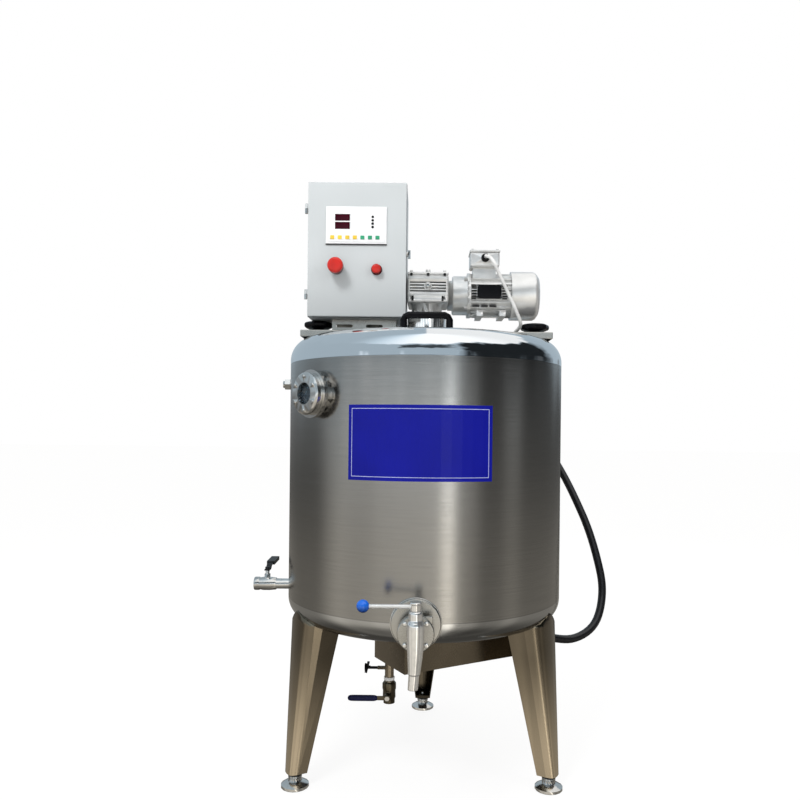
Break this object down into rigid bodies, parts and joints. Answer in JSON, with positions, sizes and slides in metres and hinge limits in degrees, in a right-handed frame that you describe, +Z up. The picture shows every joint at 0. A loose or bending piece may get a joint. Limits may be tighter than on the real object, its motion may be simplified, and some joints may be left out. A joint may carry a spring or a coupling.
{
  "type": "milk sterilizer",
  "caption": "Free-standing jacketed stainless milk sterilizer tank on three legs, with geared agitator, hinged lid, control box, sight port and valves",
  "frame": {"origin": "centre of the bounding box without the free cords, on the floor", "axes": "+Z up, -Y towards the front, +X to the right seen from the front"},
  "size_m": [0.9687, 0.9047, 1.4736],
  "materials": {
    "brushed": "satin brushed stainless steel, fine horizontal grain",
    "mirror": "mirror polished stainless steel",
    "leg_steel": "darker brushed stainless steel",
    "chrome": "polished stainless steel",
    "cast": "cast aluminium with a light grey silky coat",
    "box_paint": "pale blue grey powder coat",
    "black": "glossy black moulded plastic",
    "rubber": "soft black dipped sleeve",
    "blue_panel": "deep blue gloss film",
    "blue_ball": "bright blue moulded ball",
    "navy": "very dark blue vinyl sleeve",
    "red": "signal red plastic",
    "wool": "mineral wool",
    "white": "white plastic",
    "glass": "thick clear glass",
    "bronze": "machined bronze"
  },
  "bodies": {
    "tank": {"blue_panel": "blue_panel", "box_bracket": "brushed", "conduit_gland": "black", "control_box": "box_paint", "door_hinge_lower": "chrome", "door_hinge_upper": "chrome", "drain_pipe": "brushed", "drain_valve_body": "leg_steel", "drive_neck": "brushed", "fan_cowl": "cast", "gearbox_cover": "cast", "gearbox_housing": "cast", "heater_box": "leg_steel", "heating_element": "brushed", "inlet_valve_body": "cast", "inner_vessel": "brushed", "insulation": "wool", "leg_front_left": "leg_steel", "leg_front_right": "leg_steel", "leg_rear": "leg_steel", "motor_body": "cast", "motor_cable": "white", "motor_flange": "cast", "outer_shell": "brushed", "outlet_body": "chrome", "overflow_fitting": "chrome", "power_conduit": "rubber", "rear_lid": "mirror", "sight_glass": "glass", "sight_port": "chrome", "sight_ring": "chrome", "temperature_probe": "chrome", "terminal_box": "cast", "terminal_box_cover": "cast", "top_beam": "brushed", "water_jacket": "brushed"},
    "lid": {"front_lid": "mirror", "lid_handle": "black"},
    "agitator": {"agitator_shaft": "brushed", "worm_wheel": "bronze", "agitator_paddles": "brushed"},
    "rotor": {"rotor_shaft": "brushed", "fan": "black"},
    "door": {"control_door": "box_paint", "display_panel": "white", "e_stop_collar": "red", "power_collar": "red"},
    "lock": {"door_lock": "chrome"},
    "stop_head": {"e_stop_button": "red"},
    "power_head": {"power_button": "red"},
    "hand_knob_left": {"knob_left": "black"},
    "hand_knob_right": {"knob_right": "black"},
    "foot_fl": {"foot_front_left": "chrome"},
    "foot_fr": {"foot_front_right": "chrome"},
    "foot_r": {"foot_rear": "chrome"},
    "inlet_lever": {"inlet_valve_lever": "rubber"},
    "drain_lever": {"drain_valve_lever": "navy"},
    "outlet_lever": {"outlet_plug": "chrome", "outlet_ball_knob": "blue_ball"},
    "petcock": {"petcock_handle": "black"}
  },
  "joints": [
    {"name": "lid_hinge", "type": "hinge", "parent": "tank", "child": "lid", "pos_m": [0.04379, -0.07075, 1.0978], "axis": [-1, 0, 0], "range_deg": [0, 65]},
    {"name": "agitator_spin", "type": "hinge", "parent": "tank", "child": "agitator", "pos_m": [0.04379, 0.03225, 1], "axis": [0, 0, 1], "continuous": true},
    {"name": "motor_spin", "type": "hinge", "parent": "tank", "child": "rotor", "pos_m": [0.19379, 0.08225, 1.2181], "axis": [1, 0, 0], "continuous": true},
    {"name": "door_hinge", "type": "hinge", "parent": "tank", "child": "door", "pos_m": [-0.25971, -0.06075, 1.3], "axis": [0, 0, -1], "range_deg": [0, 120]},
    {"name": "lock_turn", "type": "hinge", "parent": "door", "child": "lock", "pos_m": [-0.00881, -0.06075, 1.2955], "axis": [1, 0, 0], "range_deg": [0, 90]},
    {"name": "stop_push", "type": "slide", "parent": "door", "child": "stop_head", "axis": [0, 1, 0], "range_m": [0, 0.005], "stiffness_N_per_m": 1200},
    {"name": "power_push", "type": "slide", "parent": "door", "child": "power_head", "axis": [0, 1, 0], "range_m": [0, 0.003], "stiffness_N_per_m": 600},
    {"name": "knob_left_turn", "type": "hinge", "parent": "tank", "child": "hand_knob_left", "pos_m": [-0.23991, 0.03225, 1.12], "axis": [0, 0, 1], "continuous": true},
    {"name": "knob_right_turn", "type": "hinge", "parent": "tank", "child": "hand_knob_right", "pos_m": [0.32749, 0.03225, 1.12], "axis": [0, 0, 1], "continuous": true},
    {"name": "foot_fl_turn", "type": "hinge", "parent": "tank", "child": "foot_fl", "pos_m": [-0.26018, -0.14325, 0.02], "axis": [0, 0, 1], "continuous": true},
    {"name": "foot_fr_turn", "type": "hinge", "parent": "tank", "child": "foot_fr", "pos_m": [0.34776, -0.14325, 0.02], "axis": [0, 0, 1], "continuous": true},
    {"name": "foot_r_turn", "type": "hinge", "parent": "tank", "child": "foot_r", "pos_m": [0.04379, 0.38325, 0.02], "axis": [0, 0, 1], "continuous": true},
    {"name": "inlet_lever_turn", "type": "hinge", "parent": "tank", "child": "inlet_lever", "pos_m": [-0.36721, 0.03225, 0.49], "axis": [0, 0, 1], "range_deg": [0, 90]},
    {"name": "drain_lever_turn", "type": "hinge", "parent": "tank", "child": "drain_lever", "pos_m": [-0.04621, -0.01775, 0.178], "axis": [0, -1, 0], "range_deg": [0, 90]},
    {"name": "outlet_lever_turn", "type": "hinge", "parent": "tank", "child": "outlet_lever", "pos_m": [0.02749, -0.39775, 0.49], "axis": [0, 0, 1], "range_deg": [0, 90]},
    {"name": "petcock_turn", "type": "hinge", "parent": "tank", "child": "petcock", "pos_m": [-0.08621, -0.01775, 0.2466], "axis": [1, 0, 0], "range_deg": [0, 90]}
  ],
  "couplings": [
    {"joint": "motor_spin", "follows": "agitator_spin", "ratio": 30}
  ]
}
